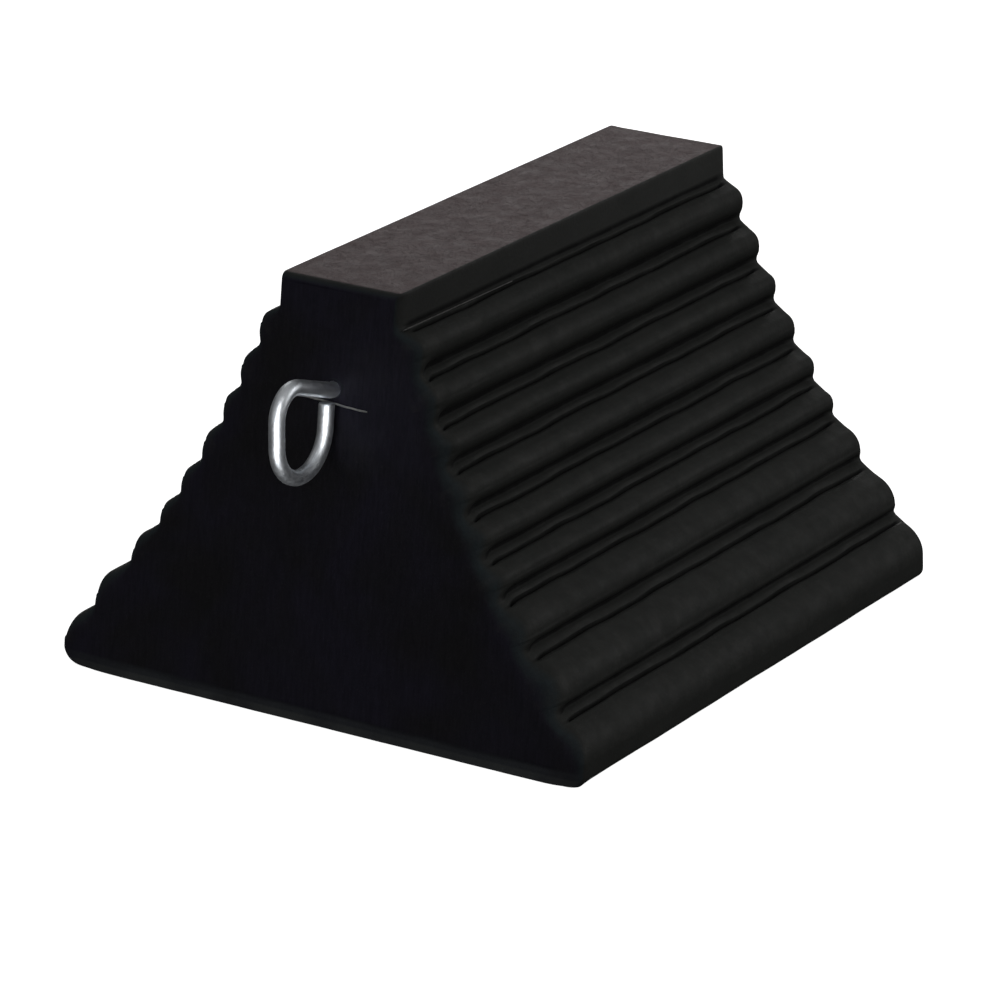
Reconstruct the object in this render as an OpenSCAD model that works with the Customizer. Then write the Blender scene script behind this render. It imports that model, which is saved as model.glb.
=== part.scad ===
// Moulded rubber wheel chock with an eye bolt in one end.
// Frame: +Z up, X across the two ribbed slopes, Y along the ribs, and the eye bolt at -Y.
// The origin is the middle of the footprint, on the ground.

/* [Body] */
// Height of the chock
body_h = 150; // [145:0.5:160]
// Length along the ribs where the end faces meet the ground
body_l = 242; // [200:1:320]
// Width across the lowest ribs, at the ground
body_w = 209.6; // [205:0.2:215]
// Width of the flat block on top
top_w = 47; // [43:0.5:49]
// Lean from the vertical of the end face with the eye bolt, in degrees
bolt_end_draft = 6.3; // [4:0.1:7]
// Lean from the vertical of the other end face, in degrees
far_end_draft = 5; // [0:0.1:7]
// Radius of the hollow curve that each slope follows
slope_r = 400; // [360:5:700]
// Radius on the long edges of the top block
top_edge_r = 0.8; // [0.4:0.1:2.5]
// Radius on the long bottom edges
foot_edge_r = 3; // [0.4:0.1:4]

/* [Ribs] */
// Angle of the upper side of a rib below the horizontal, in degrees
shelf_angle = 25; // [22:0.5:27]
// Radius at the bottom of a groove
groove_r = 1.2; // [0.8:0.1:2.5]
// How far the highest rib hangs out over the groove below it
overhang_top = 2.5; // [1.5:0.1:2.8]
// How far the lowest overhanging rib hangs out over the groove below it
overhang_low = 0.9; // [0.5:0.1:1.4]
// Height of the highest rib's crest over the groove below it
crest_top = 8.3; // [7.5:0.1:8.6]
// Height of the lowest overhanging rib's crest over the groove below it
crest_low = 4.6; // [4:0.1:5]
// Height of the upright foot of the lowest rib
foot_crest = 8; // [6:0.1:10]
// Width of the fine slit that runs along each groove
slit_w = 1.2; // [0.4:0.1:1.4]
// Depth of that slit
slit_d = 1.5; // [0.5:0.1:2]
// Distance of that slit from the bottom corner of its groove
slit_out = 2.6; // [2.2:0.1:3]

/* [Moulding lines] */
// Height of the lip along the foot of each end face
lip_h = 3; // [1:0.1:5]
// How far that lip stands out
lip_out = 1.2; // [0.5:0.1:4]
// Height of the shank's middle above the seam left by the mould where it closed round the eye bolt
seam_drop = 4.7; // [3.5:0.1:8]
// Length of that seam
seam_l = 27.5; // [0:0.5:40]
// Width of that seam
seam_w = 0.7; // [0.3:0.1:1.5]
// How far that seam stands out of the end face
seam_out = 0.6; // [0.2:0.1:1.5]

/* [Eye bolt] */
// Diameter of the rod that the eye bolt is bent from
rod_d = 5.5; // [5.2:0.1:6]
// Height of the shank above the ground
shank_z = 114.5; // [112:0.5:118]
// Length of the full-size shank inside the rubber
shank_l = 34; // [20:1:60]
// Diameter of the thread on the end of the shank (M5)
thread_d = 5; // [4:0.1:5]
// Length of that thread
thread_l = 22; // [14:1:40]
// Upward slant of the rod as it leaves the end face, in degrees
rise_angle = 18; // [17:0.5:19]
// Radius of the bend where the slant begins
root_r = 6; // [5:0.5:8]
// Length of the slanting run
rise_l = 19.7; // [19.2:0.1:21]
// Radius of the tight bend at the eye's upper outer side
crown_r = 9.4; // [9:0.1:9.8]
// Length of the straight between the two bends
drop_l = 8; // [7:0.1:9]
// Radius of the eye's round lower part
eye_r = 14.3; // [14:0.1:14.5]
// Length of the rod's straight end beside the end face
tail_l = 8.8; // [1:0.1:9]

/* [Anchor] */
// Diameter of the washer that holds the eye bolt in the rubber
washer_d = 25; // [15:0.5:40]
// Thickness of that washer
washer_t = 1.5; // [1:0.1:3]
// Width across the flats of each nut (M5)
nut_af = 8; // [7:0.5:10]
// Height of each nut
nut_h = 4; // [3:0.1:5]

/* [Hidden] */
rubber = [0.10, 0.10, 0.10];
zinc = [0.76, 0.78, 0.80];
steel = [0.62, 0.63, 0.64];
$fn = 96;
past = 5;                    // how far a cutting shape runs past what it cuts
arc_steps = 6;               // straight pieces that each arc of the outline is drawn with

// Heights of the grooves at body_h = 150, from the one under the top block to the one over the lowest rib.
groove_heights = [138.3, 123, 108, 94.3, 79.9, 66.8, 54.7, 39.2, 21.2];
rib_count = len(groove_heights);
groove_z = [for (z = groove_heights) z * body_h / 150];

// The hollow curve of a slope is a circle through the highest and the lowest groove.
low_groove_x = 92.1;
high_groove_x = top_w / 2;
chord_x = low_groove_x - high_groove_x;
chord_z = groove_z[0] - groove_z[rib_count - 1];
chord = norm([chord_x, chord_z]);
to_centre = sqrt(pow(slope_r, 2) - pow(chord / 2, 2));
centre_x = (low_groove_x + high_groove_x) / 2 + to_centre * chord_z / chord;
centre_z = (groove_z[0] + groove_z[rib_count - 1]) / 2 + to_centre * chord_x / chord;
function slope_x(z) = centre_x - sqrt(pow(slope_r, 2) - pow(centre_z - z, 2));

// Rib i lies under groove i. Its values run evenly from the highest rib to the lowest overhanging one.
function between(high, low, i) = high + (low - high) * i / (rib_count - 2);
function is_foot(i) = i == rib_count - 1;
function crest_x(i) = is_foot(i) ? body_w / 2 : slope_x(groove_z[i + 1]) + between(overhang_top, overhang_low, i);
function crest_z(i) = is_foot(i) ? foot_crest : groove_z[i + 1] + between(crest_top, crest_low, i);

// The crest's radius makes its arc meet the rib's straight upper side smoothly.
function crest_r(i) =
    let (rise = groove_z[i] - crest_z(i), run = crest_x(i) - slope_x(groove_z[i]))
    (rise * cos(shelf_angle) - run * sin(shelf_angle)) / (1 - sin(shelf_angle));

// Points on an arc in the XZ plane, from angle a0 to angle a1 about [x, z].
function arc(x, z, r, a0, a1) =
    [for (k = [0:arc_steps]) let (a = a0 + (a1 - a0) * k / arc_steps) [x + r * cos(a), z + r * sin(a)]];

// The rounded bottom of groove i, coming down the side above it and going out along the shelf.
groove_lift = groove_r * tan((90 - shelf_angle) / 2);
function groove_arc(i) =
    arc(slope_x(groove_z[i]) + groove_r, groove_z[i] + groove_lift, groove_r, 180, 270 - shelf_angle);

// The fine slit cut into shelf i: its two edges and its sharp bottom.
function on_shelf(i, along, down) =
    [
        slope_x(groove_z[i]) + along * cos(shelf_angle) - down * sin(shelf_angle),
        groove_z[i] - along * sin(shelf_angle) - down * cos(shelf_angle)
    ];
function slit(i) =
    [on_shelf(i, slit_out - slit_w / 2, 0), on_shelf(i, slit_out, slit_d), on_shelf(i, slit_out + slit_w / 2, 0)];

function crest_arc(i) = arc(crest_x(i) - crest_r(i), crest_z(i), crest_r(i), 90 - shelf_angle, 0);

// Under its crest a rib leans back in to the next groove, along an S of two arcs.
function belly(i) =
    let (
        inward = crest_x(i) - slope_x(groove_z[i + 1]),
        drop = crest_z(i) - groove_z[i + 1] - groove_lift,
        lean = 2 * atan(inward / drop),
        r = drop / sin(lean) / 2
    )
    concat(
        arc(crest_x(i) - r, crest_z(i), r, 0, -lean),
        arc(slope_x(groove_z[i + 1]) + r, groove_z[i + 1] + groove_lift, r, 180 - lean, 180)
    );

function rib(i) = concat(groove_arc(i), slit(i), crest_arc(i), is_foot(i) ? [] : belly(i));

// One side of the chock's outline, from the middle of the top to the middle of the base.
half_outline = concat(
    arc(top_w / 2 - top_edge_r, body_h - top_edge_r, top_edge_r, 90, 0),
    [for (i = [0:rib_count - 1]) each rib(i)],
    arc(body_w / 2 - foot_edge_r, foot_edge_r, foot_edge_r, 0, -90)
);
function mirrored(points) = [for (k = [len(points) - 1:-1:0]) [-points[k][0], points[k][1]]];

// Distance from the middle, at height z, of an end face that leans by draft.
function end_y(z, draft) = body_l / 2 - z * tan(draft);
face_y = -end_y(shank_z, bolt_end_draft);
washer_y = face_y + shank_l + thread_l / 2;
washer_hole_d = 5.3;
box_w = body_w + 2 * past;
lip_inset = 8;               // from the side of the lowest rib to the lip's end

// The block before its ends are cut to their lean.
module long_body() {
    rotate([90, 0, 0])
        linear_extrude(body_l, center = true)
            polygon(concat(half_outline, mirrored(half_outline)));
}

// What an end face at +Y that leans by draft cuts away.
module end_cut(draft) {
    translate([-box_w / 2, body_l / 2, 0])
        rotate([draft, 0, 0])
            translate([0, 0, -body_h])
                cube([box_w, body_l, 3 * body_h]);
}

// The lip along the foot of the end face at +Y, bevelled on top.
module foot_lip() {
    lip_w = body_w - 2 * lip_inset;
    foot_y = body_l / 2;
    translate([-lip_w / 2, 0, 0])
        rotate([90, 0, 90])
            linear_extrude(lip_w)
                polygon([
                    [foot_y - past, 0],
                    [foot_y + lip_out, 0],
                    [foot_y + lip_out, lip_h * 0.6],
                    [foot_y + lip_out * 0.7, lip_h],
                    [foot_y - past, lip_h]
                ]);
}

// The raised seam on the end face, on both sides of the eye bolt.
module seam() {
    seam_z = shank_z - seam_drop;
    translate([0, -end_y(seam_z, bolt_end_draft), seam_z])
        rotate([-bolt_end_draft, 0, 0])
            cube([seam_l, 2 * seam_out, seam_w], center = true);
}

module both_ends() {
    children();
    mirror([0, 1, 0]) children();
}

module rubber_block() {
    color(rubber)
        difference() {
            union() {
                difference() {
                    long_body();
                    end_cut(far_end_draft);
                    mirror([0, 1, 0]) end_cut(bolt_end_draft);
                }
                both_ends() foot_lip();
                seam();
            }
            shank_hole();
            anchor();
        }
}

// The eye bolt is one rod, bent in steps. A step is a straight, [length], or a bend, [radius, angle].
// It starts inside the rubber and runs along +Z. A bend turns it towards +X, or to -X if its angle is negative.
// A straight is finer than the bends by a hair, and its ends are tucked into them, so that the pieces join cleanly.
tuck = 0.3;
fine = 0.04;
root_gap = 0.3;              // from the end face to the first bend
eye_turn = 180 - bolt_end_draft;
rod_steps = [
    [shank_l + root_gap],
    [root_r, -rise_angle],
    [rise_l],
    [crown_r, 90 + rise_angle],
    [drop_l],
    [eye_r, eye_turn],
    [tail_l - tuck]
];

module rod_step(step) {
    if (len(step) == 1)
        translate([0, 0, -tuck])
            cylinder(d = rod_d - fine, h = step[0] + 2 * tuck);
    else
        rotate([0, 0, step[1] > 0 ? 0 : 180])
            translate([step[0], 0, 0])
                rotate([-90, 0, 0])
                    rotate([0, 0, 180])
                        rotate_extrude(angle = abs(step[1]))
                            translate([step[0], 0])
                                circle(d = rod_d);
}

// Places its children at the end of the rod's first k steps.
module after_steps(k) {
    if (k == 0) {
        children();
    } else {
        step = rod_steps[k - 1];
        side = len(step) == 1 ? 0 : sign(step[1]) * step[0];
        after_steps(k - 1)
            translate(len(step) == 1 ? [0, 0, step[0]] : [side, 0, 0])
                rotate([0, len(step) == 1 ? 0 : step[1], 0])
                    translate([-side, 0, 0])
                        children();
    }
}

// Places its children where the shank's full size begins, looking out of the end face.
module on_shank() {
    translate([0, face_y + shank_l, shank_z])
        rotate([90, 0, 0])
            rotate([0, 0, -90])
                children();
}

module thread() {
    translate([0, 0, -thread_l]) cylinder(d = thread_d, h = thread_l);
}

module eye_bolt() {
    color(zinc)
        on_shank() {
            thread();
            for (k = [0:len(rod_steps) - 1])
                after_steps(k) rod_step(rod_steps[k]);
        }
}

// The hole that the shank and its thread leave in the rubber, run out past the seam.
module shank_hole() {
    on_shank() {
        thread();
        translate([0, 0, -tuck]) cylinder(d = rod_d - fine, h = shank_l + tuck + 2 * seam_out);
    }
}

// Places a piece on the thread, y along it from the washer's middle.
module on_thread(y) {
    translate([0, washer_y + y, shank_z])
        rotate([-90, 0, 0])
            children();
}

module washer_blank() {
    on_thread(-washer_t / 2) cylinder(d = washer_d, h = washer_t);
}

module nut_blank(y) {
    on_thread(y) cylinder(d = nut_af / cos(30), h = nut_h, $fn = 6);
}

front_y = -washer_t / 2 - nut_h;
rear_y = washer_t / 2;

// The room that the washer and the nuts take up in the rubber.
module anchor() {
    washer_blank();
    nut_blank(front_y);
    nut_blank(rear_y);
}

module thread_hole(d) {
    on_thread(-thread_l) cylinder(d = d, h = 2 * thread_l);
}

module anchor_washer() {
    color(steel)
        difference() {
            washer_blank();
            thread_hole(washer_hole_d);
        }
}

module anchor_nut(y) {
    color(steel)
        difference() {
            nut_blank(y);
            thread_hole(thread_d);
        }
}

rubber_block();
eye_bolt();
anchor_washer();
anchor_nut(front_y);  // anchor_nut_front
anchor_nut(rear_y);  // anchor_nut_rear
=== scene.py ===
import math

import bmesh
import bpy
import numpy as np
from mathutils import Matrix, Vector


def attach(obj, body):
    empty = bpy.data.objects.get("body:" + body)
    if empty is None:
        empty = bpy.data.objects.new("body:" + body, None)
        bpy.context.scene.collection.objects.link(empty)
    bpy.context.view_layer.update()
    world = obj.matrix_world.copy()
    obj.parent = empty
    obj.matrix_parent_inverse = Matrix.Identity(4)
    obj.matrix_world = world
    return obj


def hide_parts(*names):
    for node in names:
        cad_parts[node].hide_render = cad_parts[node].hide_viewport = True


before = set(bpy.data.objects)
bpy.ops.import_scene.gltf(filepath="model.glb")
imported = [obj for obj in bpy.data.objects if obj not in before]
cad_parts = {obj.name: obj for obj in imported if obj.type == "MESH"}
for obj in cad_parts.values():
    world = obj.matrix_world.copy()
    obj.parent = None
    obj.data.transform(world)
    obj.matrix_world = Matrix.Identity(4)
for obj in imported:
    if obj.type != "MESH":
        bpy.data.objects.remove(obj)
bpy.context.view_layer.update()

MM = 0.001  # the design values below are millimetres, as in the CAD source

# ---------------------------------------------------------------- design values, as in the CAD source

BODY_H = 150.0
BODY_L = 242.0
BODY_W = 209.6
TOP_W = 47.0
SLOPE_R = 400.0
TOP_EDGE_R = 0.8
FOOT_EDGE_R = 3.0
SHELF = math.radians(25)
OVERHANG_TOP, OVERHANG_LOW = 2.5, 0.9
CREST_TOP, CREST_LOW = 8.3, 4.6
FOOT_CREST = 8.0
SLIT_W, SLIT_OUT = 1.2, 2.6
GROOVES = [138.3, 123.0, 108.0, 94.3, 79.9, 66.8, 54.7, 39.2, 21.2]
LOW_GROOVE_X = 92.1
RIBS = len(GROOVES)
LIP_H, LIP_OUT = 3.0, 1.2

ROD_D = 5.5
SHANK_Z = 114.5
SHANK_L = 34.0
THREAD_D, THREAD_L, THREAD_PITCH = 5.0, 22.0, 0.8
RISE = math.radians(18)
ROOT_GAP, ROOT_R, RISE_L = 0.3, 6.0, 19.7
CROWN_R, DROP_L = 9.4, 8.0
EYE_R, TAIL_L = 14.3, 8.5
SEAM_L, SEAM_W, SEAM_OUT = 27.5, 0.7, 0.6

NEAR, FAR = -1, 1  # the end face at -Y, with the eye bolt, and the one at +Y
DRAFT = {NEAR: math.radians(6.3), FAR: math.radians(5.0)}

# ---------------------------------------------------------------- the outline of the rubber block

CHORD_X = LOW_GROOVE_X - TOP_W / 2
CHORD_Z = GROOVES[0] - GROOVES[-1]
CHORD = math.hypot(CHORD_X, CHORD_Z)
TO_CENTRE = math.sqrt(SLOPE_R**2 - (CHORD / 2) ** 2)
CENTRE_X = (LOW_GROOVE_X + TOP_W / 2) / 2 + TO_CENTRE * CHORD_Z / CHORD
CENTRE_Z = (GROOVES[0] + GROOVES[-1]) / 2 + TO_CENTRE * CHORD_X / CHORD


def slope_x(z):
    return CENTRE_X - math.sqrt(SLOPE_R**2 - (CENTRE_Z - z) ** 2)


def end_y(z, end=NEAR):
    """Distance of an end face from the middle at height z."""
    return BODY_L / 2 - z * math.tan(DRAFT[end])


def between(high, low, i):
    return high + (low - high) * i / (RIBS - 2)


def is_foot(i):
    return i == RIBS - 1


def crest(i):
    """The outermost point of rib i and the radius of its nose."""
    if is_foot(i):
        x, z = BODY_W / 2, FOOT_CREST
    else:
        x = slope_x(GROOVES[i + 1]) + between(OVERHANG_TOP, OVERHANG_LOW, i)
        z = GROOVES[i + 1] + between(CREST_TOP, CREST_LOW, i)
    rise, run = GROOVES[i] - z, x - slope_x(GROOVES[i])
    radius = (rise * math.cos(SHELF) - run * math.sin(SHELF)) / (1 - math.sin(SHELF))
    return x, z, radius


def arc(x, z, r, a0, a1, steps):
    turns = np.linspace(math.radians(a0), math.radians(a1), steps + 1)
    return [(x + r * math.cos(a), z + r * math.sin(a)) for a in turns]


def straight(start, end, steps):
    """The points between start and end, without the two themselves."""
    return [
        tuple(a + (b - a) * k / steps for a, b in zip(start, end))
        for k in range(1, steps)
    ]


def fade_in(d, start, end):
    t = np.clip((d - start) / (end - start), 0, 1)
    return t * t * (3 - 2 * t)


class Outline:
    """One side of the block's outline, from the top to the base, with what each of its points needs."""

    def __init__(self):
        self.full, self.groove, self.slit, self.wear, self.rib, self.deep = [], [], [], [], [], []

    def add(self, points, groove=0.0, slit=None, wear=0.0, rib=-1, deep=None):
        for k, point in enumerate(points):
            self.full.append(point)
            self.groove.append(groove)
            self.slit.append(slit[k] if slit else 0.0)
            self.wear.append(wear)
            self.rib.append(rib)
            self.deep.append(deep[k] if deep else 0.0)


GROOVE_R = 1.2
CREASE_IN = 1.3  # how far the crease at the bottom of a groove cuts in
CREASE_SHADE = [1.0, 1.0, 1.0, 1.0, 0.8, 0.5, 0.25, 0.1, 0.0]  # how much painted shade darkens the groove's floor
BELLY_SHADE = (0.62, 0.95)  # the share of a belly over which painted shade darkens it towards the crease
BELLY_STEPS, BELLY_LATE = 14, 1.7  # under its crest a rib stays nearly upright, then turns in sharply
GROOVE_LIFT = GROOVE_R * math.tan((math.pi / 2 - SHELF) / 2)
SHELF_DEG = math.degrees(SHELF)
SLIT_DEEP = 1.9
SLIT_SHAPE = [(-1.7, 0.0), (-1.3, 0.15), (-1.0, 0.8), (0.0, 1.0), (1.0, 0.8), (1.3, 0.15), (1.7, 0.0)]


def on_shelf(i, along, down=0.0):
    x = slope_x(GROOVES[i]) + along * math.cos(SHELF) - down * math.sin(SHELF)
    z = GROOVES[i] - along * math.sin(SHELF) - down * math.cos(SHELF)
    return x, z


def corner(i):
    """The bottom corner of groove i. The groove under the top block has a plain one."""
    return on_shelf(i, -CREASE_IN if i else 0.0)


def slit_out(i):
    """How far the slit lies from the groove's corner: a little further at the two lowest grooves."""
    return SLIT_OUT + (0.9 if i == RIBS - 2 else 0.4 if is_foot(i) else 0.0)


def add_rib(outline, i):
    x0, z0 = corner(i)
    floor = arc(x0 + GROOVE_R, z0 + GROOVE_LIFT, GROOVE_R, 180, 270 - SHELF_DEG, len(CREASE_SHADE) - 1)
    # the groove's floor, the slit and the belly's lower part carry painted shade
    outline.add(floor, groove=1.0, rib=i, deep=CREASE_SHADE)
    lips = [on_shelf(i, slit_out(i) + u * SLIT_W / 2) for u, _ in SLIT_SHAPE]
    depths = [v for _, v in SLIT_SHAPE]
    outline.add(lips, groove=0.75, slit=depths, rib=i, deep=depths)
    x, z, radius = crest(i)
    nose = arc(x - radius, z, radius, 90 - SHELF_DEG, 0, 9)
    outline.add(straight(lips[-1], nose[0], 4), groove=0.3, rib=i)
    outline.add(nose, wear=1.0, rib=i)
    if is_foot(i):
        return
    low_x, low_z = corner(i + 1)
    share = np.linspace(0, 1, BELLY_STEPS + 1)[1:-1]
    lean = (1 - np.cos(math.pi * share**BELLY_LATE)) / 2
    heights = z + (low_z + GROOVE_LIFT - z) * share
    belly = list(zip(x + (low_x - x) * lean, heights))
    outline.add(belly, groove=0.5, rib=i, deep=list(fade_in(share, *BELLY_SHADE)))


SOFT_FOOT = (9.0, 5.5)  # the foot's rounding at its softest, across and upwards
SOFT_WALL = 0.2  # the share of the foot's points that stay on its wall
SOFT_DROP = 0.6  # how far below the foot's crest the wall then starts
FOOT_WALL = [7.4, 6.8, 6.2, 5.6, 5.1, 4.7, 4.4, 4.1, 3.85, 3.6, 3.4, 3.2]  # heights of points on the wall


def add_soft_foot(outline):
    """Where the points of the foot's wall and edge would lie with the softer rounding."""
    wide, high = SOFT_FOOT
    points = np.array(outline.full)
    foot = (np.array(outline.rib) == RIBS - 1) & (points[:, 1] < FOOT_CREST)
    foot &= points[:, 0] > BODY_W / 2 - FOOT_EDGE_R - 0.01
    soft = points.copy()
    share = np.linspace(0, 1, int(foot.sum()))
    turn = math.pi / 2 * np.clip((share - SOFT_WALL) / (1 - SOFT_WALL), 0, 1)
    wall = np.clip(share / SOFT_WALL, 0, 1)
    start = FOOT_CREST - SOFT_DROP
    soft[foot, 0] = BODY_W / 2 - wide * (1 - np.cos(turn))
    soft[foot, 1] = start - (start - high) * wall - high * np.sin(turn)
    outline.soft_foot, outline.foot = soft, foot


def make_outline():
    outline = Outline()
    edge = arc(TOP_W / 2 - TOP_EDGE_R, BODY_H - TOP_EDGE_R, TOP_EDGE_R, 90, 0, 6)
    outline.add(edge, wear=1.0)
    outline.add(straight(edge[-1], (TOP_W / 2, GROOVES[0] + GROOVE_LIFT), 7))
    for i in range(RIBS):
        add_rib(outline, i)
    x = BODY_W / 2
    outline.add([(x, z) for z in FOOT_WALL], rib=RIBS - 1)
    foot = arc(x - FOOT_EDGE_R, FOOT_EDGE_R, FOOT_EDGE_R, 0, -90, 11)
    outline.add(foot, wear=0.6, rib=RIBS - 1)
    add_soft_foot(outline)
    for name in ("full", "groove", "slit", "wear", "deep", "soft_foot", "foot"):
        setattr(outline, name, np.array(getattr(outline, name), float))
    outline.rib = np.array(outline.rib)
    return outline


# ---------------------------------------------------------------- how the block's ends are rounded

LEFT, RIGHT = -1, 1
TOP_ROUND = {NEAR: 2.4, FAR: 1.5}  # rounding where an end face meets the top
# At each upright corner: the length over which the ribs round off into the end face, and how far inside
# the grooves the flat of the end face stops. Each has three values: at the block on top, at the low ribs
# and at the foot.
CORNERS = {
    (NEAR, RIGHT): ((5.0, 8.5, 3.0), (2.6, 3.4, 6.5)),
    (NEAR, LEFT): ((2.6, 5.0, 6.0), (0.8, 1.2, 3.4)),
    (FAR, RIGHT): ((3.0, 3.6, 6.0), (0.9, 0.6, 4.5)),
    (FAR, LEFT): ((7.0, 5.0, 4.0), (3.0, 1.6, 3.0)),
}
# How much of a groove's depth is filled where it runs out near the corner, and how far in it is whole.
RUN_OUT = {
    (NEAR, RIGHT): (0.75, 12.0),
    (NEAR, LEFT): (0.5, 12.0),
    (FAR, RIGHT): (0.3, 8.0),
    (FAR, LEFT): (0.5, 9.0),
}
BLOCK_Z, LOW_RIBS_Z, LOWEST_RIBS_Z = 112.0, 96.0, 26.0
LINE_DROP = 0.8  # how far below each groove's corner the edge of the end face passes
LAND_GAP = 0.35  # keeps the last point of one rib apart from the first of the next on the end face


def by_height(values, z):
    """Blends a corner's three values: for the block on top, for the low ribs and for the foot."""
    block, low, foot = values
    return np.interp(z, [FOOT_CREST, LOWEST_RIBS_Z, LOW_RIBS_Z, BLOCK_Z], [foot, low, low, block])


def face_edge(outline, end, side):
    """Where each point of the outline lands on the edge of the end face: a smooth line without ribs."""
    inset = CORNERS[end, side][1]
    top_z = BODY_H - TOP_ROUND[end]
    line_x = [slope_x(z) - by_height(inset, z) for z in GROOVES]
    line_z = [z - LINE_DROP for z in GROOVES]
    landed = np.zeros_like(outline.full)
    for rib in range(-1, RIBS):
        member = outline.rib == rib
        part = outline.full[member]
        steps = np.r_[0, np.cumsum(np.hypot(*np.diff(part, axis=0).T))] + LAND_GAP
        share = steps / (steps[-1] + LAND_GAP)
        if rib == -1:
            share = share - share[0]
            x, z = np.full(len(part), line_x[0]), top_z - share * (top_z - line_z[0])
        elif is_foot(rib):
            edge = outline.soft_foot[member] if side == LEFT and end == NEAR else part
            foot_x = edge[:, 0] if side == LEFT and end == NEAR else BODY_W / 2
            shoulder = part[:, 1] > FOOT_CREST + 0.01
            falling = np.minimum(steps / (steps[shoulder][-1] + LAND_GAP), 1.0)
            x = line_x[rib] + (foot_x - inset[2] - line_x[rib]) * np.sin(falling * math.pi / 2)
            z = np.where(shoulder, line_z[rib] + (FOOT_CREST - line_z[rib]) * falling, edge[:, 1])
        else:
            x = line_x[rib] + (line_x[rib + 1] - line_x[rib]) * share
            z = line_z[rib] + (line_z[rib + 1] - line_z[rib]) * share
        landed[member] = np.stack([x, z], 1)
    return landed


INSIDE_NOSES = 1.0


def filled_x(z):
    """The slope with its grooves filled: a line from rib to rib, a little inside their noses."""
    noses = [crest(i)[:2] for i in range(RIBS)]
    heights, reaches = [n[1] for n in noses][::-1], [n[0] - INSIDE_NOSES for n in noses][::-1]
    return np.where(z > heights[-1], 0.0, np.interp(z, heights, reaches))


def rounding(d, length):
    """0 at the end face, rising along a quarter of an ellipse to 1 at length."""
    return np.sqrt(np.clip(1 - (1 - np.clip(d / length, 0, 1)) ** 2, 0, 1))


def waves(y, seed, parts=((97.0, 1.0), (41.0, 0.55), (19.0, 0.3), (7.3, 0.12))):
    """A slow uneven line along y, about -1 to 1, the same every time for one seed."""
    total = 0.0
    for k, (length, size) in enumerate(parts):
        total = total + size * np.sin(2 * math.pi * y / length + 1.7 * seed * (k + 1) + seed**2)
    return total / 1.6


# Distances of the cross-sections near each end, and how many steps there are between the last of them.
END_STEPS = [0, 0.06, 0.2, 0.42, 0.75, 1.15, 1.65, 2.25, 3.0]
END_STEPS += [3.8, 4.7, 5.7, 6.8, 8.0, 9.3, 10.8, 12.4, 14.2]
MIDDLE_STEPS = 74


def stations():
    """Each cross-section of the block: (its end or 0, distance from that end, share of the middle)."""
    near = [(NEAR, d, 0.0) for d in END_STEPS]
    last = END_STEPS[-1]
    middle = [(0, last, k / MIDDLE_STEPS) for k in range(1, MIDDLE_STEPS)]
    far = [(FAR, d, 0.0) for d in reversed(END_STEPS)]
    return near + middle + far


def station_y(station, z):
    """The place along Y of a station at height z."""
    end, d, share = station
    if end:
        return end * (end_y(z, end) - d)
    start, stop = d - end_y(z, NEAR), end_y(z, FAR) - d
    return start + (stop - start) * share


NOSE_WAVE, RIB_WAVE, BLOCK_WAVE = 0.14, 0.18, 0.06  # how uneven the noses, the ribs and the block are
WAVE_LIFT = 1.1  # keeps the unevenness on the inner side of the true shape
WORN_LEFT, WORN_LEFT_L, WORN_LEFT_FADE = 0.9, 40, 30  # the left noses stand back near the eye bolt's end
SOFT_FOOT_L = (20, 120)  # where the left foot's softer rounding begins to go, and is gone
SLIT_STARTS = {NEAR: (5.0, 8.0), FAR: (6.0, 10.0)}
SLIT_WANDER = 0.28


def make_uneven(base, outline, side, y, away_near, seed):
    """Waves along the ribs and the block's side, and the left noses' wear."""
    z = outline.full[:, 1]
    crests = (1 - outline.groove) * (outline.rib >= 0)
    base[:, 0] -= NOSE_WAVE * crests * (WAVE_LIFT + waves(y, seed))
    if side == LEFT:
        worn = fade_in(WORN_LEFT_L - away_near, 0, WORN_LEFT_FADE)
        base[:, 0] -= WORN_LEFT * crests * (z > FOOT_CREST) * worn
    block = outline.rib < 0
    base[block, 0] -= BLOCK_WAVE * (WAVE_LIFT + waves(y[block], 5.0 + side))
    base[:, 1] += RIB_WAVE * waves(y, seed * 2.1) * (outline.rib >= 0) * (z > FOOT_CREST + 2)


def cut_slits(base, outline, y, away_near, away_far, seed):
    """Sinks the slits, which wander and vary in depth and fade out before the ends."""
    fading = fade_in(away_near, *SLIT_STARTS[NEAR]) * fade_in(away_far, *SLIT_STARTS[FAR])
    uneven = 0.95 + 0.22 * waves(y, seed * 1.3, ((31.0, 1.0), (11.0, 0.6), (4.6, 0.5)))
    depth = SLIT_DEEP * outline.slit * fading * np.clip(uneven, 0.6, 1.2)
    wander = SLIT_WANDER * waves(y, seed * 0.7, ((53.0, 1.0), (23.0, 0.5))) * (outline.slit > 0)
    base[:, 0] += wander * math.cos(SHELF) - depth * math.sin(SHELF)
    base[:, 1] += -wander * math.sin(SHELF) - depth * math.cos(SHELF)


def fill_ends(base, outline, side, away_near, away_far):
    """Fills the grooves partly where they run out near the corners."""
    for end, away in ((NEAR, away_near), (FAR, away_far)):
        share, reach = RUN_OUT[end, side]
        fill = share * (1 - fade_in(away, 0.1 * reach, reach)) * (outline.rib >= 0)
        base[:, 0] += fill * np.maximum(filled_x(outline.full[:, 1]) - base[:, 0], 0)


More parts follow.
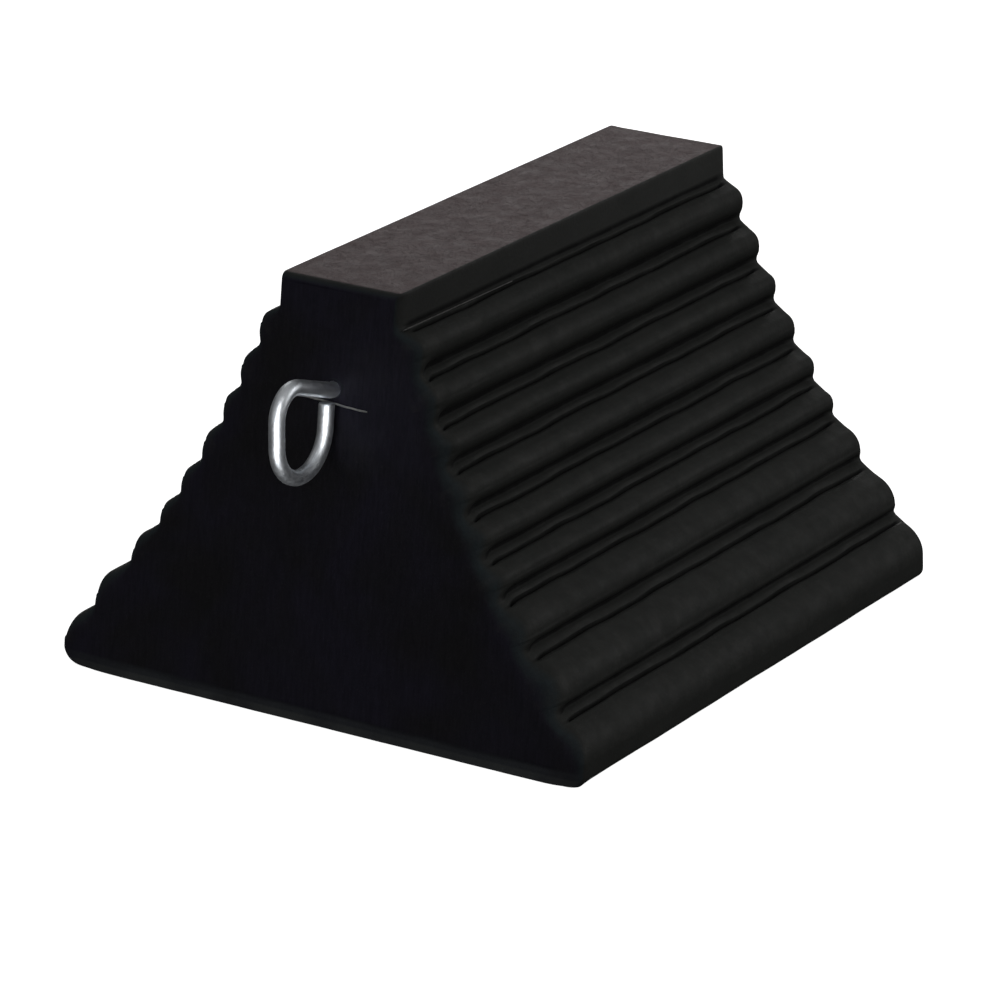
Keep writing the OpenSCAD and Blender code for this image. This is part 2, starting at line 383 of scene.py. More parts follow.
def side_points(outline, landed, side, station):
    """The outline's points on one side (RIGHT or LEFT) at one station."""
    end, d, _ = station
    full = outline.full
    y = station_y(station, full[:, 1])
    base = full.copy()
    away_near, away_far = y + end_y(full[:, 1], NEAR), end_y(full[:, 1], FAR) - y
    seed = outline.rib + (3.3 if side > 0 else 11.1)
    make_uneven(base, outline, side, y, away_near, seed)
    cut_slits(base, outline, y, away_near, away_far, seed)
    if side == LEFT:
        soft = 1 - fade_in(away_near, *SOFT_FOOT_L)
        base += (outline.soft_foot - full) * (soft * outline.foot)[:, None]
    fill_ends(base, outline, side, away_near, away_far)
    if end:
        length = by_height(CORNERS[end, side][0], full[:, 1])
        length = np.minimum(length, TOP_ROUND[end] + 3 * (BODY_H - full[:, 1]))
        edge = landed[end, side]
        base = edge + (base - edge) * rounding(d, length)[:, None]
        y = station_y(station, base[:, 1])
    return np.stack([side * base[:, 0], y, base[:, 1]], 1)


# ---------------------------------------------------------------- the rubber block

COLUMNS = 60  # steps across the top, the base and the end faces
CREVICE_SHADE_STARTS = (2.0, 7.5)  # distances from an end at which the painted shade in the crevices starts and is full
LIP_LEFT, LIP_RIGHT = -91.0, 97.0  # where the lip ends at the eye bolt's end; the far end is turned round
LIP_LEFT_ROUND, LIP_RIGHT_ROUND = 14.0, 8.0


def lip(x, z, end):
    """How far the lip along the foot of an end face stands out at x and height z."""
    left, right = (LIP_LEFT, LIP_RIGHT) if end == NEAR else (-LIP_RIGHT, -LIP_LEFT)
    left_round = LIP_LEFT_ROUND if end == NEAR else LIP_RIGHT_ROUND
    right_round = LIP_RIGHT_ROUND if end == NEAR else LIP_LEFT_ROUND
    inside = rounding(x - left, left_round) * rounding(right - x, right_round)
    inside = inside * ((x > left) & (x < right))
    top = LIP_H * (1.05 + 0.1 * waves(x, 4.0 + end))
    slope = np.clip((top + 0.4 - z) / (top + 0.2), 0, 1)
    edge = LIP_OUT * (0.88 + 0.05 * waves(x, 8.0 + end, ((43.0, 1.0), (17.0, 0.8), (5.1, 0.5))))
    recess = 0.16 * np.exp(-(((z - top - 1.0) / 0.6) ** 2)) * fade_in(x - left, 10, 60)
    return inside * (edge * slope - recess)


def face_bumps(x, z):
    """The faint unevenness of an end face, always inwards."""
    return 0.12 * (1 + np.sin(x / 17.0 + 1.3 * np.sin(z / 23.0)) * np.sin(z / 14.0 + x / 31.0))


def top_dips(x, y):
    return 0.10 * (1 + np.sin(y / 15.0 + np.sin(x / 7.0)) * np.sin(x / 9.0 + y / 37.0))


def ring(outline, landed, station):
    """One closed cross-section: right side down, base, left side up, top."""
    _, d, _ = station
    right = side_points(outline, landed, RIGHT, station)
    left = side_points(outline, landed, LEFT, station)
    across = np.linspace(0, 1, COLUMNS + 1)[1:-1, None]
    base = right[-1] + (left[-1] - right[-1]) * across
    top = left[0] + (right[0] - left[0]) * across
    if d > 0:
        top[:, 2] -= top_dips(top[:, 0], top[:, 1]) * fade_in(22.0 - np.abs(top[:, 0]), 0, 4)
    return np.concatenate([right, base, left[::-1], top]), len(right)


def cap_ids(n, first, count):
    """The vertex numbers of a ring and of the points inside it, laid out as rows across the end face."""
    right = first + np.arange(n)
    base = first + n + np.arange(COLUMNS - 1)
    left = first + n + COLUMNS - 1 + np.arange(n)[::-1]
    top = first + 2 * n + COLUMNS - 1 + np.arange(COLUMNS - 1)
    rows = np.full((n, COLUMNS + 1), -1)
    rows[:, 0], rows[:, -1] = left, right
    rows[0, 1:-1], rows[-1, 1:-1] = top, base[::-1]
    inner = count + np.arange((n - 2) * (COLUMNS - 1))
    rows[1:-1, 1:-1] = inner.reshape(n - 2, COLUMNS - 1)
    return rows


def quads(rows, flip):
    a, b, c, d = rows[:-1, :-1], rows[:-1, 1:], rows[1:, 1:], rows[1:, :-1]
    found = np.stack([a, b, c, d], -1).reshape(-1, 4)
    return found[:, ::-1] if flip else found


def inside_out(mesh):
    """Whether a closed mesh has its faces turned inwards."""
    probe = bmesh.new()
    probe.from_mesh(mesh)
    volume = probe.calc_volume(signed=True)
    probe.free()
    return volume < 0


def new_object(name, points, faces, material):
    mesh = bpy.data.meshes.new(name)
    mesh.from_pydata((np.asarray(points) * MM).tolist(), [], [list(map(int, f)) for f in faces])
    mesh.validate()
    if inside_out(mesh):
        mesh.flip_normals()
    mesh.polygons.foreach_set("use_smooth", [True] * len(mesh.polygons))
    mesh.materials.append(material)
    obj = bpy.data.objects.new(name, mesh)
    bpy.context.scene.collection.objects.link(obj)
    return obj


def float_layer(obj, name, values):
    layer = obj.data.attributes.new(name, "FLOAT", "POINT")
    layer.data.foreach_set("value", np.asarray(values, np.float32))


def around(values):
    """Values of the outline's points, laid out round one closed ring, with 0 on the base and the top."""
    flat = np.zeros(COLUMNS - 1)
    return np.concatenate([values, flat, values[::-1], flat])


def cap(points, rows, end):
    """The points inside an end face, with its bumps and its lip. The ring's base row gets the lip too."""
    left, right = points[rows[1:-1, 0]], points[rows[1:-1, -1]]
    across = np.linspace(0, 1, COLUMNS + 1)[None, 1:-1, None]
    inner = left[:, None] + (right - left)[:, None] * across
    x, z = inner[:, :, 0], inner[:, :, 2]
    margin = np.minimum(x - left[:, None, 0], right[:, None, 0] - x)
    bumps = face_bumps(x, z) * fade_in(margin, 0, 6)
    inner[:, :, 1] = end * (end_y(z, end) - bumps + lip(x, z, end))
    base_row = rows[-1, 1:-1]
    points[base_row, 1] += end * lip(points[base_row, 0], points[base_row, 2], end)
    return inner.reshape(-1, 3)


def block_mesh(material):
    outline = make_outline()
    landed = {(end, side): face_edge(outline, end, side) for end in (NEAR, FAR) for side in (LEFT, RIGHT)}
    rings, n = [], 0
    for station in stations():
        points, n = ring(outline, landed, station)
        rings.append(points)
    size = len(rings[0])
    points = np.concatenate(rings)
    table = np.arange(len(points)).reshape(len(rings), size)
    table = np.concatenate([table, table[:, :1]], 1)
    faces = [quads(table, True)]
    extra = []
    count = len(points)
    for end, first in ((NEAR, 0), (FAR, len(points) - size)):
        rows = cap_ids(n, first, count)
        extra.append(cap(points, rows, end))
        faces.append(quads(rows, end == FAR))
        count += len(extra[-1])
    points = np.concatenate([points] + extra)
    block = new_object("rubber_chock", points, np.concatenate(faces), material)
    inside_caps = np.zeros(sum(len(e) for e in extra))
    wear = np.tile(around(outline.wear), len(rings))
    float_layer(block, "wear", np.concatenate([wear, inside_caps]))
    # painted shade in the crevices, fading in from each end
    dark = [fade_in(d, *CREVICE_SHADE_STARTS) for _, d, _ in stations()]
    deep = np.outer(dark, around(outline.deep)).ravel()
    float_layer(block, "crevice", np.concatenate([deep, inside_caps]))
    return block


# ---------------------------------------------------------------- swept pieces


def sweep(name, centres, sides, ups, shapes, material):
    """A closed tube with capped ends: at each centre a ring of shape points, (along side, along up)."""
    rings = [
        c + np.outer(shape[:, 0], s) + np.outer(shape[:, 1], u)
        for c, s, u, shape in zip(centres, sides, ups, shapes)
    ]
    size = len(rings[0])
    points = np.concatenate(rings)
    table = np.arange(len(points)).reshape(len(rings), size)
    table = np.concatenate([table, table[:, :1]], 1)
    faces = [list(f) for f in quads(table, False)]
    start, end = len(points), len(points) + 1
    points = np.concatenate([points, [rings[0].mean(0)], [rings[-1].mean(0)]])
    last = start - size
    for k in range(size):
        following = (k + 1) % size
        faces.append([start, following, k])
        faces.append([end, last + k, last + following])
    return new_object(name, points, faces, material)


def rod_path():
    """The eye bolt's centreline from the thread's end: distance outwards, height, heading and kind."""
    u, w, heading = -(SHANK_L + THREAD_L), 0.0, 0.0
    path = []

    def run(length, steps, kind):
        nonlocal u, w
        for k in range(steps):
            path.append((u, w, heading, kind))
            u += length / steps * math.cos(heading)
            w += length / steps * math.sin(heading)

    def turn(radius, angle, steps):
        nonlocal u, w, heading
        step = angle / steps
        chord = 2 * radius * math.sin(abs(step) / 2)
        for k in range(steps):
            path.append((u, w, heading, "bend"))
            u += chord * math.cos(heading + step / 2)
            w += chord * math.sin(heading + step / 2)
            heading += step

    run(THREAD_L, 264, "thread")
    run(SHANK_L + ROOT_GAP, 12, "shank")
    turn(ROOT_R, RISE, 8)
    run(RISE_L, 22, "rod")
    turn(CROWN_R, -(math.pi / 2 + RISE), 30)
    run(DROP_L, 7, "rod")
    turn(EYE_R, -(math.pi - DRAFT[NEAR]), 52)
    run(TAIL_L, 10, "rod")
    path.append((u, w, heading, "rod"))
    return path


ROD_UNDER = 0.04  # how much thinner the rod is than in the CAD, to stay inside its box
THREAD_DEEP = 0.49
THREAD_TAPER, THREAD_TAPER_L = 0.16, 1.2


def rod_shape(k, path, count=40):
    """The rod's cross-section at path point k, as (sideways, away from the bend) offsets."""
    turns = np.linspace(0, 2 * math.pi, count, endpoint=False)
    kind = path[k][3]
    radius = np.full(count, (ROD_D - ROD_UNDER) / 2)
    if kind == "thread":
        travelled = path[k][0] - path[0][0]
        phase = (travelled / THREAD_PITCH - turns / (2 * math.pi)) % 1.0
        radius = THREAD_D / 2 - THREAD_DEEP * np.abs(2 * phase - 1)
        radius = radius * min(1.0, 1 - THREAD_TAPER + THREAD_TAPER * travelled / THREAD_TAPER_L)
    elif kind != "shank":
        radius = radius * (1 - 0.006 * (1 + np.sin(3 * turns + 0.31 * k)))
    return np.stack([radius * np.cos(turns), radius * np.sin(turns)], 1)


FACE_Y = -end_y(SHANK_Z)


def eye_bolt_mesh(material):
    path = rod_path()
    shapes = [rod_shape(k, path) for k in range(len(path))]
    # The cut end is sheared: the last rings close in round its edge.
    for back, shrink in ((0, 0.80), (1, 0.93), (2, 0.985)):
        shapes[-1 - back] = shapes[-1 - back] * shrink
    centres, sides, ups = [], [], []
    for u, w, heading, _ in path:
        centres.append(np.array([0.0, FACE_Y - u, SHANK_Z + w]))
        sides.append(np.array([1.0, 0.0, 0.0]))
        ups.append(np.array([0.0, math.sin(heading), math.cos(heading)]))
    for back, gap in ((0, 0.0), (1, 0.12), (2, 0.45), (3, 1.1)):
        out = np.array([0.0, -math.cos(path[-1][2]), math.sin(path[-1][2])])
        centres[-1 - back] = centres[-1] - out * gap
    return sweep("eye_bolt_rod", centres, sides, ups, shapes, material)


def ridge_shape(width, height, count=12):
    """A rounded ridge's cross-section, sunk 0.5 mm into what it stands on."""
    turns = np.linspace(0, math.pi, count)
    arch = [(-width / 2 * math.cos(a), height * math.sin(a)) for a in turns]
    return np.array([(-width / 2, -0.5)] + arch + [(width / 2, -0.5)])


SEAM_Z, SEAM_TILT = 109.8, 0.045  # the seam's middle, and how far it falls per millimetre to the right
SEAM_POINTS = 57


def face_axes():
    """Out of the near end face, and up along it."""
    sin, cos = math.sin(DRAFT[NEAR]), math.cos(DRAFT[NEAR])
    return np.array([0.0, -cos, sin]), np.array([0.0, sin, cos])


def seam_mesh(material):
    """The thin raised seam that the mould left beside the eye bolt."""
    normal, upward = face_axes()
    centres, shapes = [], []
    for share in np.linspace(0, 1, SEAM_POINTS):
        x = SEAM_L * (share - 0.5)
        ends = math.sqrt(max(0.0, 1 - (2 * share - 1) ** 6))
        uneven = 0.82 + 0.18 * waves(x, 2.0, ((13.0, 1.0), (4.7, 0.7), (2.1, 0.5)))
        size = max(0.12, ends * uneven)
        z = SEAM_Z + 0.12 * waves(x, 6.0, ((17.0, 1.0), (5.9, 0.6))) - SEAM_TILT * x
        centres.append(np.array([x, -end_y(z), z]))
        shapes.append(ridge_shape(SEAM_W * (0.5 + 0.5 * size), SEAM_OUT * size))
    sides, ups = [upward] * SEAM_POINTS, [normal] * SEAM_POINTS
    return sweep("mould_seam", centres, sides, ups, shapes, material)


def collar_mesh(material):
    """The small uneven swelling of rubber where the shank leaves the end face."""
    normal, upward = face_axes()
    across = np.array([1.0, 0.0, 0.0])
    centre = np.array([0.0, FACE_Y, SHANK_Z])
    rings, sections = 64, 14  # round the rod, and round the collar's own thickness
    points = []
    for k in range(rings):
        a = 2 * math.pi * k / rings
        out = across * math.cos(a) + upward * math.sin(a)
        swell = 1 + 0.22 * math.sin(2 * a + 0.7) + 0.12 * math.sin(5 * a)
        for j in range(sections):
            b = 2 * math.pi * j / sections
            reach = ROD_D / 2 + 0.45 + 0.55 * swell * math.cos(b)
            points.append(centre + out * reach + normal * (0.3 * swell * math.sin(b) - 0.15))
    faces = []
    for k in range(rings):
        for j in range(sections):
            a, b = k * sections + j, k * sections + (j + 1) % sections
            c, d = (k + 1) % rings * sections + (j + 1) % sections, (k + 1) % rings * sections + j
            faces.append([a, b, c, d])
    return new_object("bolt_collar", points, faces, material)


FLASH_START, FLASH_L, FLASH_POINTS = 1.6, 66.0, 84
FLASH_OUT, FLASH_DROP = 1.25, 0.15  # where it stands, from the corner of the groove under the top block
FLASH_LEAN = math.radians(35)
FLASH_W, FLASH_H = 0.55, 0.75


def flash_mesh(material):
    """The thin flash in the groove under the top block, at the end with the eye bolt."""
    x0, z0 = slope_x(GROOVES[0]) + FLASH_OUT, GROOVES[0] - FLASH_DROP
    out = np.array([math.cos(FLASH_LEAN), 0.0, math.sin(FLASH_LEAN)])
    along_up = np.array([-out[2], 0.0, out[0]])
    centres, shapes = [], []
    for share in np.linspace(0, 1, FLASH_POINTS):
        y = -end_y(GROOVES[0]) + FLASH_START + FLASH_L * share
        thin = (1 - share) ** 0.6 * min(1.0, 0.25 + share * 20)
        uneven = 0.8 + 0.2 * waves(y, 9.0, ((11.0, 1.0), (4.1, 0.8), (1.9, 0.6)))
        size = max(0.08, thin * uneven)
        centres.append(np.array([x0 + 0.7 * share, y, z0 - 0.25 * share]))
        shapes.append(ridge_shape(FLASH_W * (0.4 + 0.6 * size), FLASH_H * size))
    sides, ups = [along_up] * FLASH_POINTS, [out] * FLASH_POINTS
    return sweep("groove_flash", centres, sides, ups, shapes, material)


# ---------------------------------------------------------------- materials


class Nodes:
    """A small helper that adds and links nodes in one material."""

    def __init__(self, name):
        self.material = bpy.data.materials.new(name)
        self.material.use_nodes = True
        self.tree = self.material.node_tree
        self.shader = self.tree.nodes["Principled BSDF"]

    def add(self, kind, inputs=(), **settings):
        node = self.tree.nodes.new(kind)
        for key, value in settings.items():
            setattr(node, key, value)
        for key, value in dict(inputs).items():
            if isinstance(value, bpy.types.NodeSocket):
                self.tree.links.new(value, node.inputs[key])
            else:
                node.inputs[key].default_value = value
        return node

    def place(self, scale):
        """Object coordinates, scaled by (x, y, z), per metre."""
        source = self.add("ShaderNodeTexCoord").outputs["Object"]
        node = self.add("ShaderNodeMapping", {"Vector": source, "Scale": scale})
        return node.outputs["Vector"]

    def noise(self, scale, detail=4.0, rough=0.55, distortion=0.0, at=(1, 1, 1)):
        inputs = {"Vector": self.place(at), "Scale": scale, "Detail": detail, "Roughness": rough}
        inputs["Distortion"] = distortion
        return self.add("ShaderNodeTexNoise", inputs).outputs["Fac"]

    def spread(self, value, low, high, out_low=0.0, out_high=1.0):
        inputs = {"Value": value, "From Min": low, "From Max": high}
        inputs.update({"To Min": out_low, "To Max": out_high})
        return self.add("ShaderNodeMapRange", inputs).outputs["Result"]

    def maths(self, operation, a, b=0.0):
        return self.add("ShaderNodeMath", {0: a, 1: b}, operation=operation).outputs[0]

    def times(self, a, b):
        return self.maths("MULTIPLY", a, b)

    def object_axis(self, axis):
        return self.add("ShaderNodeSeparateXYZ", {"Vector": self.place((1, 1, 1))}).outputs[axis]

    def mix(self, share, a, b):
        node = self.add("ShaderNodeMix", data_type="RGBA")
        for socket, value in (("Factor", share), ("A", a), ("B", b)):
            target = [s for s in node.inputs if s.name == socket and s.enabled][0]
            if isinstance(value, bpy.types.NodeSocket):
                self.tree.links.new(value, target)
            else:
                target.default_value = (*value, 1.0) if socket != "Factor" else value
        return [s for s in node.outputs if s.enabled][0]

    def bump(self, height, strength, distance, under=None):
        inputs = {"Height": height, "Strength": strength, "Distance": distance}
        if under is not None:
            inputs["Normal"] = under
        return self.add("ShaderNodeBump", inputs).outputs["Normal"]

    def link(self, socket, name):
        self.tree.links.new(socket, self.shader.inputs[name])


def facing(m):
    """How far the surface faces up, faces either end, and lies on a corner between, 0 to 1."""
    normal = m.add("ShaderNodeNewGeometry").outputs["Normal"]
    parts = m.add("ShaderNodeSeparateXYZ", {"Vector": normal}).outputs
    up = m.spread(parts["Z"], 0.955, 0.99)
    endwise = m.maths("ABSOLUTE", parts["Y"])
    ends = m.spread(endwise, 0.55, 0.9)
    on_corner = m.times(m.spread(endwise, 0.30, 0.62), m.spread(endwise, 0.80, 0.97, 1.0, 0.0))
    return up, ends, on_corner


LIP_PAINTED_HIGHLIGHTS = (  # painted highlight on the lip: a height in metres, where the grey has faded out above it, and the grey
    (0.0042, 0.0053, (0.036, 0.040, 0.047)),
    (0.0020, 0.0026, (0.064, 0.069, 0.070)),
)
CORNER_GREY = (0.0270, 0.0385, 0.0440)  # the rounded corners catch a little of a cold light
# painted shade: the near black of the slits, the groove floors and the lower bellies, where shade falls
CREVICE_SHADE_COLOUR = (0.0008, 0.0008, 0.0010)


def lip_painted_highlight_colours(m, colour, height, ends):
    """Painted highlight: the lip along the foot of each end is painted greyer than the face, most so at
    the ground, for the light band it catches.
    """
    # worn holds the patchy share of the painted highlight
    worn = m.times(ends, m.spread(m.noise(48, 4, 0.6), 0.35, 0.62, 0.35, 1.0))
    for low, high, grey in LIP_PAINTED_HIGHLIGHTS:
        colour = m.mix(m.times(m.spread(height, low, high, 1.0, 0.0), worn), colour, grey)
    return colour


def slope_colours(m, mottle, streaks):
    slope = m.mix(m.spread(mottle, 0.3, 0.7), (0.0155, 0.0170, 0.0152), (0.0236, 0.0246, 0.0222))
    return m.mix(m.spread(streaks, 0.45, 0.75, 0.0, 0.3), slope, (0.028, 0.029, 0.026))


def face_colours(m, scuffs):
    """The end faces are a bluish black in soft patches, paler where they are scuffed."""
    patches = m.spread(m.noise(26, 3, 0.5, 0.6), 0.35, 0.62)
    dark = m.mix(patches, (0.0140, 0.0132, 0.0165), (0.0175, 0.0158, 0.0300))
    light = m.mix(patches, (0.0215, 0.0200, 0.0245), (0.0290, 0.0262, 0.0470))
    return m.mix(m.spread(scuffs, 0.35, 0.75), dark, light)


def block_side_colours_with_painted_light(m, colour, height, ends, mottle):
    """The sides of the block on top are greyer than the ribs, and a painted light makes them paler
    towards the far end.
    """
    on_side = m.times(m.spread(height, 0.1385, 0.1405), m.maths("SUBTRACT", 1.0, ends))
    # painted light: paler towards the far end, as if lit more from behind
    along = m.spread(m.object_axis("Y"), -0.1, 0.1)
    grey = m.mix(along, (0.0270, 0.0275, 0.0260), (0.0500, 0.0510, 0.0480))
    return m.mix(m.times(on_side, m.spread(mottle, 0.2, 0.8, 0.55, 1.0)), colour, grey)


def dust_and_painted_light_colours(m):
    """The top's colour, dust painted paler and warmer as painted light from above, and the thin wavy
    lines in it.
    """
    share = m.spread(m.noise(38, 6, 0.6, 1.2), 0.3, 0.7)
    dust_and_painted_light = m.mix(share, (0.092, 0.060, 0.061), (0.128, 0.089, 0.090))
    fibres = m.maths("ABSOLUTE", m.maths("SUBTRACT", m.noise(120, 6, 0.7, 3.5), 0.5))
    lines = m.spread(fibres, 0.0, 0.035, 1.0, 0.0)
    return m.mix(m.times(lines, 0.45), dust_and_painted_light, (0.052, 0.037, 0.038)), lines


def rubber_material():
    m = Nodes("moulded_rubber")
    up, ends, on_corner = facing(m)
    height = m.object_axis("Z")
    on_top = m.times(up, m.spread(height, 0.140, 0.146))
    mottle, grain = m.noise(55, 5, 0.6), m.noise(900, 3, 0.7)
    streaks, scuffs = m.noise(60, 4, 0.6, at=(9, 1, 9)), m.noise(70, 5, 0.65, at=(12, 12, 1))
    colour = m.mix(ends, slope_colours(m, mottle, streaks), face_colours(m, scuffs))
    colour = m.mix(m.times(on_corner, m.spread(streaks, 0.3, 0.7, 0.5, 1.0)), colour, CORNER_GREY)
    colour = lip_painted_highlight_colours(m, colour, height, ends)
    colour = block_side_colours_with_painted_light(m, colour, height, ends, mottle)
    dust_and_painted_light, fibre_lines = dust_and_painted_light_colours(m)
    # dust and painted light from above on the top face
    colour = m.mix(on_top, colour, dust_and_painted_light)
    # edge wear and painted highlight: the rib noses and the edges are painted paler, partly rubbed,
    # partly as the highlight they catch
    wear = m.add("ShaderNodeAttribute", attribute_name="wear").outputs["Fac"]
    rubbed_and_highlit = m.times(wear, m.spread(m.noise(130, 5, 0.7), 0.45, 0.75))
    colour = m.mix(m.times(rubbed_and_highlit, 0.35), colour, (0.060, 0.058, 0.055))
    colour = m.mix(m.spread(grain, 0.62, 0.75, 0.0, 0.25), colour, (0.070, 0.068, 0.066))
    # painted shade: the crevices are darkened towards black and made rougher
    crevice = m.add("ShaderNodeAttribute", attribute_name="crevice").outputs["Fac"]
    m.link(m.mix(m.times(crevice, 0.92), colour, CREVICE_SHADE_COLOUR), "Base Color")
    rough = m.spread(m.noise(160, 4, 0.6), 0.3, 0.7, 0.52, 0.70)
    rough = m.maths("ADD", rough, m.times(crevice, 0.3))
    m.link(m.maths("ADD", rough, m.times(on_top, 0.08)), "Roughness")
    m.shader.inputs["IOR"].default_value = 1.50
    m.shader.inputs["Specular IOR Level"].default_value = 0.25
    fine = m.bump(grain, 0.35, 0.00025)
    dents = m.bump(m.noise(170, 4, 0.6), 0.35, 0.0006, fine)
    lines = m.bump(m.times(scuffs, ends), 0.4, 0.0008, dents)
    m.link(m.bump(m.times(fibre_lines, on_top), 0.5, -0.0003, lines), "Normal")
    return m.material


def highlit_thin_rubber_material(name, dark, light):
    """The same rubber painted paler for thin raised pieces: the painted highlight they catch, and on the
    flash also rubbing.
    """
    m = Nodes(name)
    share = m.spread(m.noise(300, 4, 0.6), 0.3, 0.7)
    m.link(m.mix(share, dark, light), "Base Color")
    m.link(m.spread(m.noise(500, 3, 0.6), 0.3, 0.7, 0.35, 0.5), "Roughness")
    m.link(m.bump(m.noise(1500, 3, 0.6), 0.3, 0.0001), "Normal")
    return m.material


def zinc_material():
    m = Nodes("zinc_plating")
    patches = m.spread(m.noise(260, 4, 0.55), 0.3, 0.7)
    colour = m.mix(patches, (0.70, 0.74, 0.78), (0.84, 0.87, 0.90))
    stains = m.spread(m.noise(420, 5, 0.7, 0.8), 0.62, 0.85, 0.0, 0.25)
    colour = m.mix(stains, colour, (0.50, 0.49, 0.45))
    m.link(colour, "Base Color")
    m.shader.inputs["Metallic"].default_value = 1.0
    m.link(m.spread(m.noise(700, 4, 0.6), 0.3, 0.7, 0.34, 0.48), "Roughness")
    drawn = m.bump(m.noise(1100, 3, 0.6), 0.25, 0.00015)
    m.link(m.bump(m.noise(330, 4, 0.6), 0.3, 0.0004, drawn), "Normal")
    return m.material


def steel_material():
    """Turned and stamped plain steel, for the washer and the nuts."""
    m = Nodes("plain_steel_machined")
    patches = m.spread(m.noise(180, 4, 0.6), 0.3, 0.7)
    colour = m.mix(patches, (0.36, 0.36, 0.37), (0.50, 0.50, 0.49))
    spots = m.spread(m.noise(900, 4, 0.7), 0.62, 0.72, 0.0, 0.7)
    colour = m.mix(spots, colour, (0.20, 0.13, 0.09))
    m.link(colour, "Base Color")
    m.shader.inputs["Metallic"].default_value = 1.0
    m.link(m.spread(m.noise(400, 4, 0.6), 0.3, 0.7, 0.32, 0.5), "Roughness")
    lines = m.noise(500, 2, 0.5, at=(1, 6, 1))
    m.link(m.bump(lines, 0.3, 0.0001), "Normal")
    return m.material


def floor_material():
    m = Nodes("pale_floor")
    share = m.spread(m.noise(3, 3, 0.5), 0.3, 0.7)
    m.link(m.mix(share, (0.90, 0.90, 0.90), (0.93, 0.93, 0.93)), "Base Color")
    m.shader.inputs["Roughness"].default_value = 0.9
    m.shader.inputs["Emission Color"].default_value = (1, 1, 1, 1)
    m.shader.inputs["Emission Strength"].default_value = FLOOR_GLOW
    return m.material


# ---------------------------------------------------------------- floor, light and camera

FLOOR_GLOW = 0.95
FLOOR_R, FLOOR_DROP = 6.0, 0.0002  # half its width, and how far it lies under the object
LIGHT_AIM = Vector((0, 0, 0.07))
# What lights the object from around: grey levels from straight down (0) to straight up (1).
SKY = ((0.0, 0.042), (0.5, 0.042), (0.62, 0.065), (0.8, 0.17), (1.0, 0.30))


def make_floor():
    mesh = bpy.data.meshes.new("floor")
    corners = [(x * FLOOR_R, y * FLOOR_R, -FLOOR_DROP) for x, y in ((-1, -1), (1, -1), (1, 1), (-1, 1))]
    mesh.from_pydata(corners, [], [(0, 1, 2, 3)])
    mesh.materials.append(floor_material())
    floor = bpy.data.objects.new("floor", mesh)
    bpy.context.scene.collection.objects.link(floor)
    floor.visible_diffuse = False
    floor.visible_glossy = False
    floor.visible_shadow = False


def area_light(name, place, size, power):
    data = bpy.data.lights.new(name, "AREA")
    data.energy, data.size = power, size
    light = bpy.data.objects.new(name, data)
    light.location = place
    aim = LIGHT_AIM - Vector(place)
    light.rotation_mode = "QUATERNION"
    light.rotation_quaternion = aim.to_track_quat("-Z", "Y")
    light.visible_camera = False
    bpy.context.scene.collection.objects.link(light)
    return light


def only_on(light, pieces):
    """Makes a light shine on these pieces alone."""
    lit = bpy.data.collections.new(light.name + "_on")
    for piece in pieces:
        lit.objects.link(piece)
    light.light_linking.receiver_collection = lit


def make_world():
    """White to the camera. What lights the object is dim at the horizon and brighter overhead."""
    world = bpy.data.worlds.new("studio")
    bpy.context.scene.world = world
    world.use_nodes = True
    tree = world.node_tree
    tree.nodes.clear()
    where = tree.nodes.new("ShaderNodeTexCoord")
    split = tree.nodes.new("ShaderNodeSeparateXYZ")
    ramp = tree.nodes.new("ShaderNodeValToRGB")
    shown = tree.nodes.new("ShaderNodeLightPath")
    mix = tree.nodes.new("ShaderNodeMix")
    back = tree.nodes.new("ShaderNodeBackground")
    out = tree.nodes.new("ShaderNodeOutputWorld")
    mix.data_type = "RGBA"
    scale = tree.nodes.new("ShaderNodeMapRange")
    scale.inputs["From Min"].default_value = -1.0
    tree.links.new(where.outputs["Generated"], split.inputs[0])
    tree.links.new(split.outputs["Z"], scale.inputs["Value"])
    tree.links.new(scale.outputs["Result"], ramp.inputs["Fac"])
    while len(ramp.color_ramp.elements) < len(SKY):
        ramp.color_ramp.elements.new(0.5)
    for element, (at, grey) in zip(ramp.color_ramp.elements, SKY):
        element.position, element.color = at, (grey, grey, grey, 1)
    colours = [s for s in mix.inputs if s.enabled]
    tree.links.new(shown.outputs["Is Camera Ray"], colours[0])
    tree.links.new(ramp.outputs["Color"], colours[1])
    colours[2].default_value = (1, 1, 1, 1)
    tree.links.new([s for s in mix.outputs if s.enabled][0], back.inputs["Color"])
    tree.links.new(back.outputs["Background"], out.inputs["Surface"])


CAM_AZ, CAM_EL, CAM_ROLL = math.radians(31.727), math.radians(19.783), math.radians(0.700)
CAM_DISTANCE, CAM_RIGHT, CAM_UP = 1.9821, -0.00195, -0.02985
CAM_LENS = 205.67


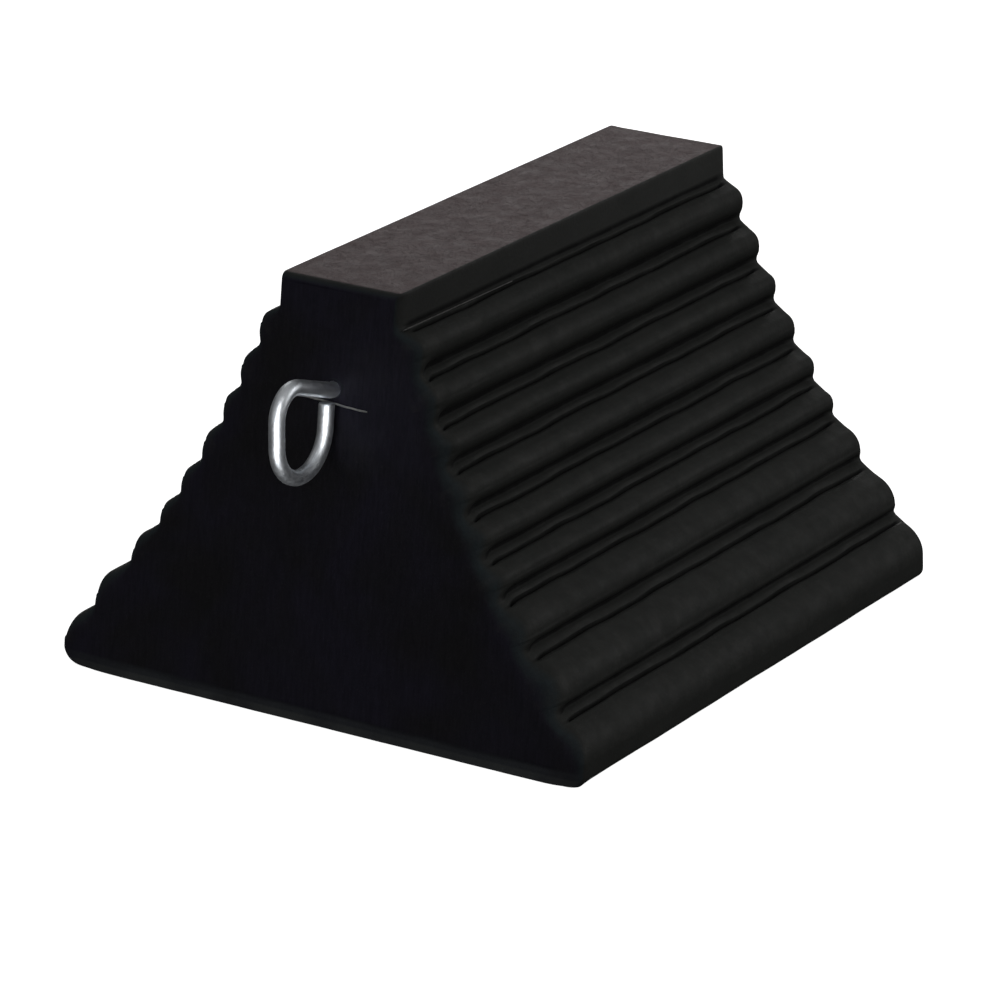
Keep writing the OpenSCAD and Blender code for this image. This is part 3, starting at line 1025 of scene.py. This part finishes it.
def make_camera():
    pivot = Vector((0, 0, BODY_H / 2 * MM))
    back = Vector((
        math.sin(CAM_AZ) * math.cos(CAM_EL),
        -math.cos(CAM_AZ) * math.cos(CAM_EL),
        math.sin(CAM_EL),
    ))
    right = (-back).cross(Vector((0, 0, 1))).normalized()
    up = right.cross(-back)
    right, up = (
        math.cos(CAM_ROLL) * right + math.sin(CAM_ROLL) * up,
        -math.sin(CAM_ROLL) * right + math.cos(CAM_ROLL) * up,
    )
    data = bpy.data.cameras.new("camera")
    data.lens, data.sensor_width = CAM_LENS, 36.0
    camera = bpy.data.objects.new("camera", data)
    place = pivot + back * CAM_DISTANCE + right * CAM_RIGHT + up * CAM_UP
    camera.matrix_world = Matrix.Translation(place) @ Matrix((right, up, back)).transposed().to_4x4()
    bpy.context.scene.collection.objects.link(camera)
    bpy.context.scene.camera = camera


# ---------------------------------------------------------------- putting it together


def main():
    rubber, zinc, steel = rubber_material(), zinc_material(), steel_material()
    # the flash is painted paler, partly rubbed and partly as a painted highlight along its raised edge
    edge = highlit_thin_rubber_material("flash_wear_and_painted_highlight", (0.07, 0.07, 0.068), (0.20, 0.195, 0.19))
    # painted highlight: the seam is painted pale for the highlight along its raised top
    seam_highlight = highlit_thin_rubber_material("seam_painted_highlight", (0.22, 0.22, 0.22), (0.60, 0.60, 0.58))
    block = block_mesh(rubber)
    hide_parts("rubber_block")
    bolt = eye_bolt_mesh(zinc)
    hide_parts("eye_bolt")
    for piece, slot in (
        (block, "rubber"),
        (bolt, "zinc_plate"),
        (seam_mesh(seam_highlight), "rubber"),
        (collar_mesh(rubber), "rubber"),
        (flash_mesh(edge), "rubber"),
    ):
        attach(piece, "root")
    for name in ("anchor_washer", "anchor_nut_front", "anchor_nut_rear"):
        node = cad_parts[name]
        node.data.materials.clear()
        node.data.materials.append(steel)
    make_floor()
    make_world()
    area_light("side_key", (1.5, 1.0, 0.75), 1.2, 6.8)
    area_light("corner_fill", (1.9, -1.3, 0.5), 1.2, 1.5)
    area_light("back_sheen", (-1.2, 2.0, 0.95), 1.6, 15.0)
    area_light("front_fill", (-0.9, -2.3, 0.7), 1.4, 2.2)
    only_on(area_light("bolt_fill", (1.3, -1.9, 1.2), 1.5, 20.0), [bolt])
    only_on(area_light("bolt_bounce", (1.05, -1.80, -0.65), 2.0, 46.0), [bolt])
    make_camera()
    bpy.context.scene.view_settings.view_transform = "Standard"


main()
